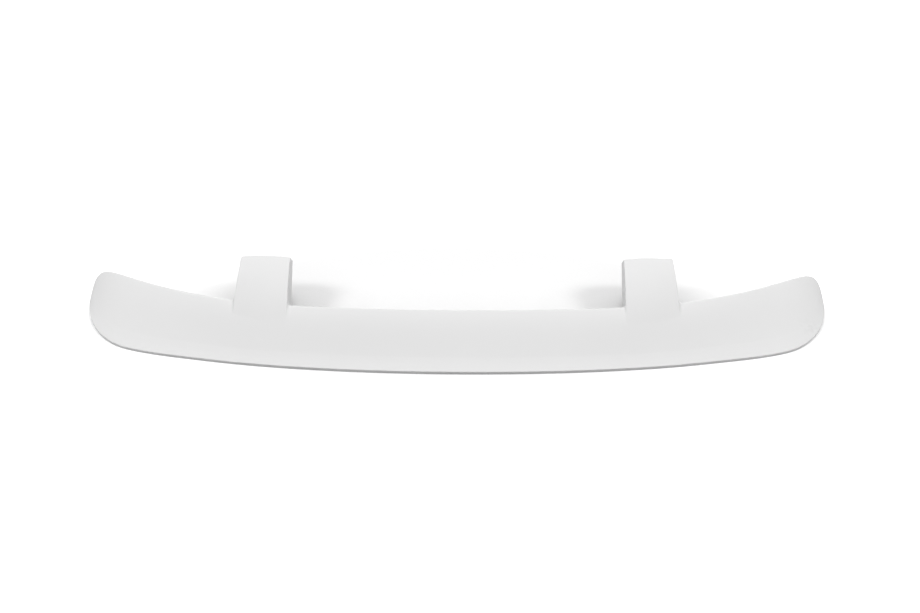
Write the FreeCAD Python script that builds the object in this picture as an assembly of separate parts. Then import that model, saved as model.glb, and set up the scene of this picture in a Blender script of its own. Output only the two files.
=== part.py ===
"""Rear roof spoiler: one moulded blade on two wedge-shaped feet.

It lies as it comes to rest on a flat surface, on its trailing edge and on the heels of its feet.
+Z is up, +Y points to the front of the car and X runs across it. The origin is below the middle
of its bounding box, on the surface that it rests on. Sizes are in millimetres, slopes in degrees.
"""

import FreeCAD, Part
import math
import os

from FreeCAD import Vector

# Overall size
SPAN = 1188.0
DEPTH = 249.0
HALF_SPAN = SPAN / 2
REAR_Y = -DEPTH / 2
FRONT_Y = DEPTH / 2

# Blade section at the middle of the span: a round nose and a thin tail that is cut off square
CHORD = 121.0
NOSE_RADIUS = 9.0
NOSE_HEIGHT = 37.5
NOSE_SLOPE = 15.0
NOSE_FLARE = 1.0
NOSE_ARCS = 7
TAIL_THICKNESS = 4.4
TAIL_CORNER = 1.0
TAIL_SLOPE = 7.0
TAIL_FLARE = 2.5
TAIL_ARCS = 2
TOP_BREAKS = (0.25, 0.5)
LOW_BREAKS = (0.25, 0.5, 0.75)

# Plan of the blade: both edges are bowed and swept forward at the ends, where the nose flares more
TAIL_BOW_RADIUS = 2700.0
NOSE_BOW_RADIUS = 3300.0
SWEEP_FORWARD = 29.0
SWEEP_POWER = 4
FLARE_START = 260.0
FLARE_LENGTH = 300.0
FLARE_FORWARD = 48.0

# Rounded ends of the blade: corners in plan, and the length over which the top rolls down
TIP_TAIL_CORNER = 88.0
TIP_TAIL_SETBACK = 105.0
TIP_NOSE_CORNER = 22.0
TIP_NOSE_SETBACK = 32.0
TIP_ROLL = 60.0
TIP_ROLL_SPARE = 0.5
TIP_TURNS = (16, 32, 47, 61, 75, 90)
EVEN_STATIONS = 6

# Feet: wedges on a flat bonding face that run up into the blade
FOOT_X = 308.5
FOOT_WIDTH_REAR = 85.0
FOOT_WIDTH_FRONT = 78.0
FOOT_DRAFT = 2.0
FOOT_CROWN = 1.2
FOOT_TOP_Y = 100.0
FOOT_TOP_Z = 82.0
FOOT_TOP_SLOPE = 9.0
FOOT_FRONT_BOW = 2.5
FOOT_FRONT_SKEW = 1.7
FOOT_EDGE_RADIUS = 1.6
FOOT_SPARE = 10.0

# Hidden end of a foot inside the blade, from which its top rises through the blade's skin
ROOT_Y = -50.0
ROOT_Z = 22.8
ROOT_SLOPE = 29.0
ROOT_SWEEP = 8.0
ROOT_DEPTH = 5.0
SEAM_RADIUS = 5.0

# Bonding face and heel of a foot
BOND_SLOPE = 31.0
HEEL_Y = 17.0
HEEL_WALL_SLOPE = -55.0
HEEL_WALL_TOP_Z = 33.0

# Screw holes in each bonding face
HOLE_RADIUS = 3.0
HOLE_DEPTH = 18.0
HOLE_SPACING = 50.0

TOUCHING = 0.001


def tangent(slope):
    """Unit vector in the plane of a section that climbs towards the front at a slope."""
    angle = math.radians(slope)
    return Vector(0, math.cos(angle), math.sin(angle))


def normal(slope):
    """Unit vector square to tangent(slope), pointing up."""
    return tangent(slope + 90)


def gradient(slope):
    """Climb for each millimetre forward at a slope."""
    return math.tan(math.radians(slope))


def bow(distance, radius):
    """How far an arc of this radius has swept forward at a distance from its middle."""
    return radius - math.sqrt(radius ** 2 - distance ** 2)


def corner(x, length):
    """Share of a quarter-round corner's depth that is lost at x, from 0 to 1 at the blade's end."""
    share = max(abs(x) - (HALF_SPAN - length), 0.0) / length
    return 1 - math.sqrt(1 - share ** 2)


def line_edge(start, end):
    return Part.LineSegment(start, end).toShape()


def cubic_edge(start, start_handle, end, end_handle):
    """Cubic edge that leaves its start along one vector and arrives at its end along another."""
    curve = Part.BezierCurve()
    curve.setPoles([start, start + start_handle, end - end_handle, end])
    return curve.toShape()


def round_edges(centre, radius, start_angle, end_angle, count):
    """Rounded part of a section, in a few equal arcs about its centre."""
    step = (end_angle - start_angle) / count
    handle = radius * math.tan(math.radians(step) / 4) * 4 / 3
    angles = [start_angle + step * number for number in range(count + 1)]
    edges = []
    for start, end in zip(angles, angles[1:]):
        start_point = centre + tangent(start) * radius
        end_point = centre + tangent(end) * radius
        edges.append(cubic_edge(start_point, normal(start) * handle, end_point, normal(end) * handle))
    return edges


class CubicLine:
    """Line in the plane of a section, cubic in y, that leaves and arrives at given slopes."""

    def __init__(self, start, start_slope, end, end_slope):
        self.start = start
        self.end = end
        self.length = end.y - start.y
        self.start_gain = gradient(start_slope) * self.length
        self.end_gain = gradient(end_slope) * self.length

    def point(self, t):
        ends = (2 * t ** 3 - 3 * t ** 2 + 1) * self.start.z + (3 * t ** 2 - 2 * t ** 3) * self.end.z
        gains = (t ** 3 - 2 * t ** 2 + t) * self.start_gain + (t ** 3 - t ** 2) * self.end_gain
        return Vector(self.start.x, self.start.y + self.length * t, ends + gains)

    def slope(self, t):
        climb = (6 * t - 6 * t ** 2) * (self.end.z - self.start.z)
        gains = (3 * t ** 2 - 4 * t + 1) * self.start_gain + (3 * t ** 2 - 2 * t) * self.end_gain
        return math.degrees(math.atan((climb + gains) / self.length))

    def edges(self, breaks=()):
        """The line as edges that meet at these shares of its length."""
        shares = [0, *breaks, 1]
        pieces = []
        for near, far in zip(shares, shares[1:]):
            reach = self.length * (far - near) / 3
            handles = [Vector(0, reach, reach * gradient(self.slope(share))) for share in (near, far)]
            pieces.append(cubic_edge(self.point(near), handles[0], self.point(far), handles[1]))
        return pieces


def middle_line(x):
    """Middle line of the blade's section at x, before its ends are rounded off."""
    away = abs(x)
    sweep = SWEEP_FORWARD * (away / HALF_SPAN) ** SWEEP_POWER
    flare = FLARE_FORWARD * (max(away - FLARE_START, 0.0) / FLARE_LENGTH) ** 2
    tail_rise = normal(TAIL_SLOPE) * (TAIL_THICKNESS / 2)
    tail_y = REAR_Y + bow(away, TAIL_BOW_RADIUS) + sweep - tail_rise.y
    nose_y = REAR_Y + CHORD + bow(away, NOSE_BOW_RADIUS) + sweep + flare - NOSE_RADIUS
    return CubicLine(Vector(x, tail_y, tail_rise.z), TAIL_SLOPE, Vector(x, nose_y, NOSE_HEIGHT), NOSE_SLOPE)


def half_thickness(share):
    """Half of the blade's thickness at a share of its middle line, away from its ends."""
    return TAIL_THICKNESS / 2 * (1 - share) + NOSE_RADIUS * share


def blade_section(x):
    """Closed outline of the blade at x: top skin, round nose, bottom skin and square tail."""
    middle = middle_line(x)
    tail_share = TIP_TAIL_SETBACK * corner(x, TIP_TAIL_CORNER) / middle.length
    nose_share = 1 - TIP_NOSE_SETBACK * corner(x, TIP_NOSE_CORNER) / middle.length
    rolled = max(abs(x) - (HALF_SPAN - TIP_ROLL), 0.0) / (TIP_ROLL + TIP_ROLL_SPARE)
    left = math.sqrt(1 - rolled ** 2)
    tail_half = TAIL_THICKNESS / 2 * left
    nose_half = NOSE_RADIUS * left
    tail = middle.point(tail_share) - Vector(0, 0, half_thickness(tail_share) - tail_half)
    nose = middle.point(nose_share) - Vector(0, 0, half_thickness(nose_share) - nose_half)
    tail_slope = middle.slope(tail_share)
    tail_top_slope = tail_slope + TAIL_FLARE
    tail_low_slope = tail_slope - TAIL_FLARE
    nose_top_slope = middle.slope(nose_share) - NOSE_FLARE
    nose_low_slope = middle.slope(nose_share) + NOSE_FLARE
    corner_radius = TAIL_CORNER * left
    cut_back = corner_radius * gradient((90 - TAIL_FLARE) / 2)
    tail_low = tail - normal(tail_slope) * tail_half
    tail_edge = tail + normal(tail_slope) * tail_half
    tail_face_top = tail_edge - normal(tail_slope) * cut_back
    tail_top = tail_edge + tangent(tail_top_slope) * cut_back
    corner_centre = tail_top - normal(tail_top_slope) * corner_radius
    nose_top = nose + normal(nose_top_slope) * nose_half
    nose_low = nose - normal(nose_low_slope) * nose_half
    edges = CubicLine(tail_top, tail_top_slope, nose_top, nose_top_slope).edges(TOP_BREAKS)
    edges += round_edges(nose, nose_half, nose_top_slope + 90, nose_low_slope - 90, NOSE_ARCS)
    edges += reversed(CubicLine(tail_low, tail_low_slope, nose_low, nose_low_slope).edges(LOW_BREAKS))
    edges.append(line_edge(tail_low, tail_face_top))
    edges += round_edges(corner_centre, corner_radius, tail_slope - 180, tail_top_slope - 270, TAIL_ARCS)
    return Part.Wire(edges)


def blade():
    """The bowed blade, lofted from end to end through sections that stand closer round the ends."""
    inner = HALF_SPAN - TIP_TAIL_CORNER
    half = [inner * number / EVEN_STATIONS for number in range(1, EVEN_STATIONS + 1)]
    half += [inner + TIP_TAIL_CORNER * math.sin(math.radians(turn)) for turn in TIP_TURNS]
    stations = [-x for x in reversed(half)] + [0.0] + half
    return Part.makeLoft([blade_section(x) for x in stations], True)


def bond_height(y):
    """Height of the bonding faces over the surface that the heels rest on."""
    return (y - HEEL_Y) * gradient(BOND_SLOPE)


def foot_outline(side, offset):
    """Crowned top and bowed front of a foot, at an offset from its middle towards the blade's end."""
    x = side * (FOOT_X + offset)
    share = 2 * offset / FOOT_WIDTH_REAR
    drop = FOOT_CROWN * share ** 2
    back = FOOT_FRONT_BOW * share ** 2 - FOOT_FRONT_SKEW * share
    root = Vector(x, ROOT_Y + ROOT_SWEEP * share, ROOT_Z - drop)
    top = Vector(x, FOOT_TOP_Y - back, FOOT_TOP_Z - drop)
    toe = Vector(x, FRONT_Y - back, bond_height(FRONT_Y - back))
    front = toe + (toe - top).normalize() * FOOT_SPARE
    front_low = Vector(x, front.y, -FOOT_SPARE)
    root_low = Vector(x, root.y, -FOOT_SPARE)
    edges = CubicLine(root, ROOT_SLOPE, top, FOOT_TOP_SLOPE).edges()
    corners = [top, front, front_low, root_low, root]
    edges += [line_edge(start, end) for start, end in zip(corners, corners[1:])]
    return Part.Wire(edges)


def foot_walls(side):
    """Block between the side walls of a foot, which taper in plan and lean in with the draft."""
    rear_y = ROOT_Y - FOOT_SPARE
    front_y = FRONT_Y + 2 * FOOT_SPARE

    def plan(z):
        widen = gradient(FOOT_DRAFT) * (FOOT_TOP_Z - z)
        rear = FOOT_WIDTH_REAR / 2 + widen
        front = FOOT_WIDTH_FRONT / 2 + widen
        corners = [(-rear, rear_y), (rear, rear_y), (front, front_y), (-front, front_y)]
        points = [Vector(side * FOOT_X + x, y, z) for x, y in corners]
        return Part.makePolygon(points + points[:1])

    return Part.makeLoft([plan(-2 * FOOT_SPARE), plan(FOOT_TOP_Z + FOOT_SPARE)], True, True)


def foot_block(side, reach):
    """Straight block that bounds a foot from behind: its heel wall, and its hidden end in the blade."""
    x = side * FOOT_X - reach
    high = FOOT_TOP_Z + FOOT_SPARE
    low = -2 * FOOT_SPARE
    front = FRONT_Y + 2 * FOOT_SPARE
    rear = ROOT_Y - FOOT_SPARE
    wall = [Vector(x, HEEL_Y + z / gradient(HEEL_WALL_SLOPE), z) for z in (low, HEEL_WALL_TOP_Z)]
    hidden = [Vector(x, y, ROOT_Z - ROOT_DEPTH) for y in (ROOT_Y, rear)]
    outside = [Vector(x, rear, high), Vector(x, front, high), Vector(x, front, low)]
    outline = Part.makePolygon(wall + hidden + outside + wall[:1])
    return Part.Face(outline).extrude(Vector(2 * reach, 0, 0))


def foot(side):
    """One foot: its crowned top trimmed to its walls, rounded along its edges and planed to bond."""
    reach = FOOT_WIDTH_REAR / 2 + FOOT_SPARE
    heel = Vector(side * FOOT_X, HEEL_Y, 0)
    outlines = [foot_outline(side, offset) for offset in (-reach, 0, reach)]
    body = Part.makeLoft(outlines, True).common(foot_walls(side)).common(foot_block(side, reach)).Solids[0]
    edges = []
    for edge in body.Edges:
        middle = edge.CenterOfMass
        if middle.y > 0 and middle.z > bond_height(middle.y):
            edges.append(edge)
    rounded = body.makeFillet(FOOT_EDGE_RADIUS, edges)
    return rounded.common(Part.makeCylinder(DEPTH, DEPTH, heel, normal(BOND_SLOPE))).Solids[0]


def seam_edges(body, first, second):
    """Edges of a body along which the skins of two of its parts meet."""
    seam = []
    for edge in body.Edges:
        middle = Part.Vertex(edge.valueAt((edge.FirstParameter + edge.LastParameter) / 2))
        gaps = [middle.distToShape(part.Shells[0])[0] for part in (first, second)]
        if max(gaps) < TOUCHING:
            seam.append(edge)
    return seam


def screw_holes(side):
    """Blind holes in line along the middle of a bonding face, square to it."""
    up = normal(BOND_SLOPE)
    middle_y = (HEEL_Y + FRONT_Y) / 2
    middle = Vector(side * FOOT_X, middle_y, bond_height(middle_y))
    holes = []
    for step in (-HOLE_SPACING / 2, HOLE_SPACING / 2):
        place = middle + tangent(BOND_SLOPE) * step
        holes.append(Part.makeCylinder(HOLE_RADIUS, HOLE_DEPTH + HOLE_RADIUS, place - up * HOLE_RADIUS, up))
    return holes


def spoiler():
    """The whole moulding: the blade with both feet grown into it and the screw holes drilled."""
    body = blade()
    wing = body
    for side in (-1, 1):
        leg = foot(side)
        body = body.fuse(leg).Solids[0]
        body = body.makeFillet(SEAM_RADIUS, seam_edges(body, wing, leg))
    for side in (-1, 1):
        body = body.cut(screw_holes(side)).Solids[0]
    return body


def main():
    os.makedirs("parts", exist_ok=True)
    body = spoiler()
    if not body.isValid():
        raise ValueError("the spoiler is not a valid solid")
    body.exportStep("parts/spoiler_body.step")
    print("volume", round(body.Volume / 1e6, 3), "litres, faces", len(body.Faces))


main()
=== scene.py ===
"""Looks of a rear roof spoiler, moulded in one piece and primed white, lying on a white studio floor."""

import math

import bpy
from mathutils import Matrix, Vector

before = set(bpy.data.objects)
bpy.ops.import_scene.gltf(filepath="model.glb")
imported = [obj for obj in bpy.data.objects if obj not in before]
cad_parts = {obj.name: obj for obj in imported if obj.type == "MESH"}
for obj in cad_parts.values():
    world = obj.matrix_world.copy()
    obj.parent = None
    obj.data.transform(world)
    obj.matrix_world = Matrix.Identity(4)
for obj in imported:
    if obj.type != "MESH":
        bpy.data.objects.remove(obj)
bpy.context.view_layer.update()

# Camera, as the photograph's perspective gives it: metres, degrees and pixels
IMAGE_WIDTH = 920
PIXEL_SIZE = 0.00163
CAMERA_DISTANCE = 2.6
CAMERA_AZIMUTH = 0.24
CAMERA_ELEVATION = 30.0
CAMERA_ROLL = 0.25
CAMERA_TARGET = Vector((0.0053, 0.0817, 0.0))
SENSOR_WIDTH = 36.0

# Lights: a wide soft box overhead, a smaller one on each side of the camera, and an even white room
LIGHT_AIM = Vector((0.0, 0.0, 0.0))
OVERHEAD_SIZE = (1.2, 1.6)
OVERHEAD_CENTRE = Vector((0.0, 0.8, 2.4))
OVERHEAD_POWER = 44.5
SIDE_SIZE = (0.4, 0.4)
SIDE_CENTRES = {"left": Vector((-1.35, -0.4, 1.2)), "right": Vector((1.35, -0.4, 1.2))}
SIDE_POWER = 8.3
ROOM_STRENGTH = 0.12
WHITE = (1.0, 1.0, 1.0, 1.0)

# Floor: its colour as it lights the part, its tone as seen in the open, and the darker tone of the painted
# shade it takes in crevices near the part
FLOOR_SIZE = 16.0
FLOOR_COLOUR = (0.70, 0.70, 0.70, 1.0)
FLOOR_SEEN_TONE = 0.95
FLOOR_PAINTED_SHADE_TONE = 0.28
FLOOR_PAINTED_SHADE_REACH = 0.15

# Ellipse on the floor that takes shadows: beyond it the floor lightens to plain white
SHADOW_CENTRE = (0.0, 0.10, 0.0)
SHADOW_REACH = (0.38, 0.18, 1.0)
SHADOW_FADE_END = 2.0

# White primer: colours, and the sizes in metres of its broad tone, its orange peel and its grain
PRIMER_COLOUR = (0.80, 0.80, 0.80, 1.0)
PRIMER_SHADE = (0.775, 0.775, 0.775, 1.0)
PRIMER_SPECULAR = 0.18
TONE_SIZE = 0.12
TONE_DETAIL = 4.0
PEEL_SIZE = 0.006
PEEL_DETAIL = 2.0
PEEL_HEIGHT = 0.00003
GRAIN_SIZE = 0.0011
GRAIN_DETAIL = 3.0
GRAIN_HEIGHT = 0.00001
ROUGHNESS_RANGE = (0.46, 0.58)

# Faint smudges on the top of the right end
SMUDGE_COLOUR = (0.74, 0.74, 0.74, 1.0)
SMUDGE_CENTRE = (0.569, -0.004, 0.02)
SMUDGE_REACH = 0.034
SMUDGE_SIZE = 0.008
SMUDGE_DETAIL = 2.0
SMUDGE_EDGES = (0.45, 0.62)

# Sockets of a colour mix, which have the same names as those of its other kinds
MIX_COLOUR_INPUTS = (0, 6, 7)
MIX_COLOUR_OUTPUT = 2


class Nodes:
    """A material's node tree, with short calls to add nodes and join them."""

    def __init__(self, tree):
        self.tree = tree
        self.tree.nodes.clear()

    def add(self, kind, settings=None, **inputs):
        node = self.tree.nodes.new(kind)
        for name, value in (settings or {}).items():
            setattr(node, name, value)
        for name, value in inputs.items():
            self.put(node.inputs[name.replace("_", " ")], value)
        return node

    def put(self, socket, value):
        """Feeds a socket from another one, or sets its value."""
        if isinstance(value, bpy.types.NodeSocket):
            self.tree.links.new(value, socket)
        else:
            socket.default_value = value

    def work_out(self, kind, operation, *values):
        """Number that an operation gives, on values that are sockets or given."""
        node = self.add(kind, {"operation": operation})
        for socket, value in zip(node.inputs, values):
            self.put(socket, value)
        return node.outputs["Value"]

    def fit(self, value, **limits):
        """Number that runs between two limits as the value runs between two others."""
        return self.add("ShaderNodeMapRange", Value=value, **limits).outputs["Result"]

    def mix(self, share, first, second):
        """Colour that goes from the first to the second as the share goes from 0 to 1."""
        node = self.add("ShaderNodeMix", {"data_type": "RGBA"})
        for number, value in zip(MIX_COLOUR_INPUTS, (share, first, second)):
            self.put(node.inputs[number], value)
        return node.outputs[MIX_COLOUR_OUTPUT]

    def pair(self, kind, first, second, **inputs):
        """Shader made of two others."""
        node = self.add(kind, **inputs)
        sockets = [socket for socket in node.inputs if socket.name == "Shader"]
        for socket, shader in zip(sockets, (first, second)):
            self.put(socket, shader)
        return node.outputs["Shader"]


def new_material(name):
    material = bpy.data.materials.new(name)
    material.use_nodes = True
    return material, Nodes(material.node_tree)


def noise(nodes, place, size, detail):
    """Noise from 0 to 1 whose features are about this large, in metres."""
    return nodes.add("ShaderNodeTexNoise", Vector=place, Scale=1 / size, Detail=detail).outputs["Fac"]


def smudges(nodes, place):
    """Share of smudge, from 0 to 1: soft patches that fade away from one point."""
    apart = nodes.work_out("ShaderNodeVectorMath", "DISTANCE", place, SMUDGE_CENTRE)
    near = nodes.fit(apart, From_Min=SMUDGE_REACH, From_Max=0.0)
    low, high = SMUDGE_EDGES
    patches = nodes.fit(noise(nodes, place, SMUDGE_SIZE, SMUDGE_DETAIL), From_Min=low, From_Max=high)
    return nodes.work_out("ShaderNodeMath", "MULTIPLY", near, patches)


def primer_material():
    """Satin white primer: a broad uneven tone, a fine sprayed grain and a faint orange peel."""
    material, nodes = new_material("white_primer")
    place = nodes.add("ShaderNodeTexCoord").outputs["Object"]
    tone = noise(nodes, place, TONE_SIZE, TONE_DETAIL)
    peel = noise(nodes, place, PEEL_SIZE, PEEL_DETAIL)
    grain = noise(nodes, place, GRAIN_SIZE, GRAIN_DETAIL)
    clean = nodes.mix(tone, PRIMER_SHADE, PRIMER_COLOUR)
    smooth, rough = ROUGHNESS_RANGE
    peel_bump = nodes.add("ShaderNodeBump", Height=peel, Distance=PEEL_HEIGHT)
    bump = nodes.add("ShaderNodeBump", Height=grain, Distance=GRAIN_HEIGHT, Normal=peel_bump.outputs["Normal"])
    shader = nodes.add(
        "ShaderNodeBsdfPrincipled",
        Base_Color=nodes.mix(smudges(nodes, place), clean, SMUDGE_COLOUR),
        Roughness=nodes.fit(grain, To_Min=smooth, To_Max=rough),
        Specular_IOR_Level=PRIMER_SPECULAR,
        Normal=bump.outputs["Normal"],
    )
    nodes.add("ShaderNodeOutputMaterial", Surface=shader.outputs["BSDF"])
    return material


def seen_directly(nodes):
    """1 for rays from the camera, from gloss and through glass, and 0 for those that carry light."""
    path = nodes.add("ShaderNodeLightPath")
    seen = path.outputs["Is Camera Ray"]
    for name in ("Is Glossy Ray", "Is Transmission Ray"):
        seen = nodes.work_out("ShaderNodeMath", "MAXIMUM", seen, path.outputs[name])
    return seen


def floor_material():
    """White paper that shows as white where it is lit and keeps the part's shadow, with painted shade
    darkening it in crevices near the part.
    """
    material, nodes = new_material("floor_paper")
    seen = seen_directly(nodes)
    # Painted shade: near the part, the floor's seen tone darkens from the open tone towards the crevice tone
    # as its ambient occlusion closes in
    openness = nodes.add("ShaderNodeAmbientOcclusion", Distance=FLOOR_PAINTED_SHADE_REACH).outputs["AO"]
    tone = nodes.fit(openness, To_Min=FLOOR_PAINTED_SHADE_TONE, To_Max=FLOOR_SEEN_TONE)
    lighting_paper = nodes.add("ShaderNodeBsdfDiffuse", Color=FLOOR_COLOUR).outputs["BSDF"]
    seen_paper_with_painted_shade = nodes.add("ShaderNodeBsdfDiffuse", Color=tone).outputs["BSDF"]
    paper = nodes.pair("ShaderNodeMixShader", lighting_paper, seen_paper_with_painted_shade, Fac=seen)
    place = nodes.add(
        "ShaderNodeMapping",
        {"vector_type": "TEXTURE"},
        Vector=nodes.add("ShaderNodeTexCoord").outputs["Object"],
        Location=SHADOW_CENTRE,
        Scale=SHADOW_REACH,
    )
    away = nodes.work_out("ShaderNodeVectorMath", "LENGTH", place.outputs["Vector"])
    beyond = nodes.fit(away, From_Min=1.0, From_Max=SHADOW_FADE_END)
    strength = nodes.work_out("ShaderNodeMath", "MULTIPLY", seen, beyond)
    glow = nodes.add("ShaderNodeEmission", Strength=strength).outputs["Emission"]
    nodes.add("ShaderNodeOutputMaterial", Surface=nodes.pair("ShaderNodeAddShader", paper, glow))
    return material


def dress_spoiler():
    """Gives the moulding its primer."""
    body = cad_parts["spoiler_body"]
    body.data.materials.clear()
    body.data.materials.append(primer_material())


def add_floor():
    half = FLOOR_SIZE / 2
    mesh = bpy.data.meshes.new("floor")
    corners = [(-half, -half, 0), (half, -half, 0), (half, half, 0), (-half, half, 0)]
    mesh.from_pydata(corners, [], [(0, 1, 2, 3)])
    floor = bpy.data.objects.new("floor", mesh)
    floor.data.materials.append(floor_material())
    bpy.context.scene.collection.objects.link(floor)


def add_soft_box(name, size, centre, power):
    lamp = bpy.data.lights.new(name, "AREA")
    lamp.shape = "RECTANGLE"
    lamp.size, lamp.size_y = size
    lamp.energy = power
    box = bpy.data.objects.new(name, lamp)
    box.location = centre
    box.rotation_euler = (LIGHT_AIM - centre).to_track_quat("-Z", "Y").to_euler()
    bpy.context.scene.collection.objects.link(box)


def add_lights():
    add_soft_box("overhead_box", OVERHEAD_SIZE, OVERHEAD_CENTRE, OVERHEAD_POWER)
    for side, centre in SIDE_CENTRES.items():
        add_soft_box(side + "_box", SIDE_SIZE, centre, SIDE_POWER)


def add_room():
    """Even white surroundings, seen as plain white."""
    world = bpy.data.worlds.new("room")
    world.use_nodes = True
    nodes = Nodes(world.node_tree)
    strength = nodes.fit(seen_directly(nodes), To_Min=ROOM_STRENGTH, To_Max=1.0)
    room = nodes.add("ShaderNodeBackground", Color=WHITE, Strength=strength)
    nodes.add("ShaderNodeOutputWorld", Surface=room.outputs["Background"])
    bpy.context.scene.world = world


def add_camera():
    azimuth = math.radians(CAMERA_AZIMUTH)
    elevation = math.radians(CAMERA_ELEVATION)
    level = Vector((math.sin(azimuth), -math.cos(azimuth), 0.0))
    back = level * math.cos(elevation) + Vector((0.0, 0.0, math.sin(elevation)))
    data = bpy.data.cameras.new("camera")
    data.sensor_width = SENSOR_WIDTH
    data.lens = SENSOR_WIDTH * CAMERA_DISTANCE / (PIXEL_SIZE * IMAGE_WIDTH)
    camera = bpy.data.objects.new("camera", data)
    turn = (-back).to_track_quat("-Z", "Y").to_matrix() @ Matrix.Rotation(math.radians(CAMERA_ROLL), 3, "Z")
    camera.matrix_world = Matrix.Translation(CAMERA_TARGET + back * CAMERA_DISTANCE) @ turn.to_4x4()
    bpy.context.scene.collection.objects.link(camera)
    bpy.context.scene.camera = camera


dress_spoiler()
add_floor()
add_lights()
add_room()
add_camera()
bpy.context.scene.view_settings.view_transform = "Standard"
